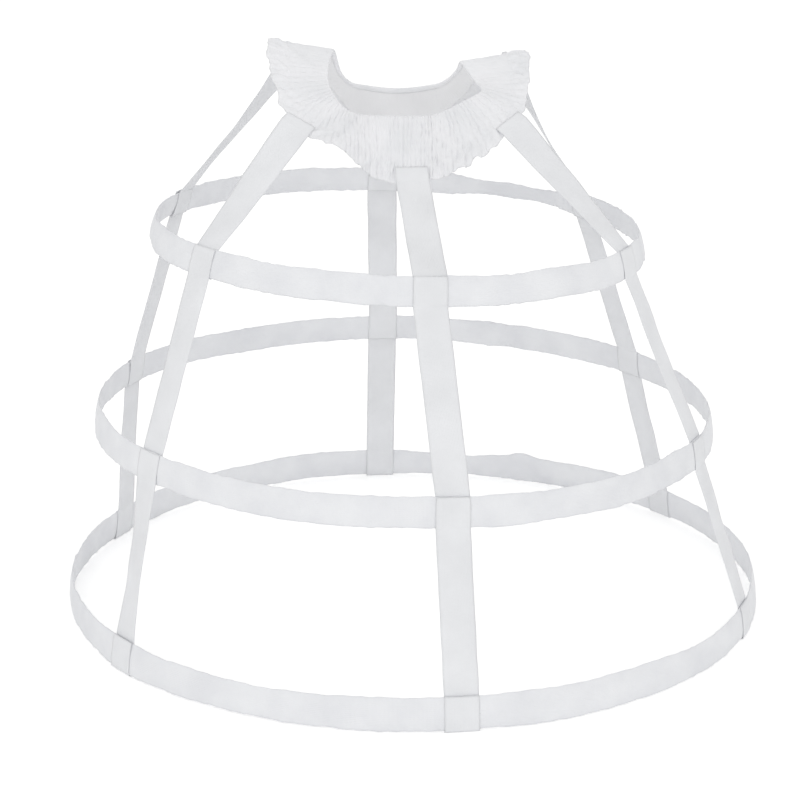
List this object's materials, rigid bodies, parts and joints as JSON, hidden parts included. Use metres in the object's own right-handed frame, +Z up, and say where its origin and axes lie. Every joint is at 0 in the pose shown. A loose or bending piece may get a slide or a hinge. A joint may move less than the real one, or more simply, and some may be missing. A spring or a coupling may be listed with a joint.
{
  "type": "crinoline cage",
  "caption": "Hooped underskirt frame: boned cloth rings of growing size hung on vertical tapes from a gathered elastic waistband with a ruffle.",
  "frame": {"origin": "on the floor under the middle of the lowest hoop", "axes": "+Z up, -Y towards the front, +X to the right seen from the front"},
  "size_m": [0.6649, 0.669, 0.5355],
  "materials": {
    "casing_tape": "white woven polyester tape, sewn double, slightly puckered along its seams",
    "strap_tape": "white woven polyester tape, matt",
    "gathered_cloth": "white plain-weave cloth gathered into fine folds",
    "elastic_webbing": "white woven elastic, smooth and matt",
    "hoop_steel": "white coated spring steel strip",
    "joiner_metal": "crimped zinc plated steel sleeve"
  },
  "bodies": {
    "root": {"hoop_1_casing": "casing_tape", "hoop_1_bone": "hoop_steel", "hoop_1_joiner": "joiner_metal", "hoop_2_casing": "casing_tape", "hoop_2_bone": "hoop_steel", "hoop_2_joiner": "joiner_metal", "hoop_3_casing": "casing_tape", "hoop_3_bone": "hoop_steel", "hoop_3_joiner": "joiner_metal", "waist_elastic": "elastic_webbing", "waist_frill": "gathered_cloth", "tape_front_upper": "strap_tape", "tape_front_middle": "strap_tape", "tape_front_lower": "strap_tape", "tape_right_upper": "strap_tape", "tape_right_middle": "strap_tape", "tape_right_lower": "strap_tape", "tape_right_back_upper": "strap_tape", "tape_right_back_middle": "strap_tape", "tape_right_back_lower": "strap_tape", "tape_back_upper": "strap_tape", "tape_back_middle": "strap_tape", "tape_back_lower": "strap_tape", "tape_left_back_upper": "strap_tape", "tape_left_back_middle": "strap_tape", "tape_left_back_lower": "strap_tape", "tape_left_front_upper": "strap_tape", "tape_left_front_middle": "strap_tape", "tape_left_front_lower": "strap_tape"}
  },
  "joints": []
}
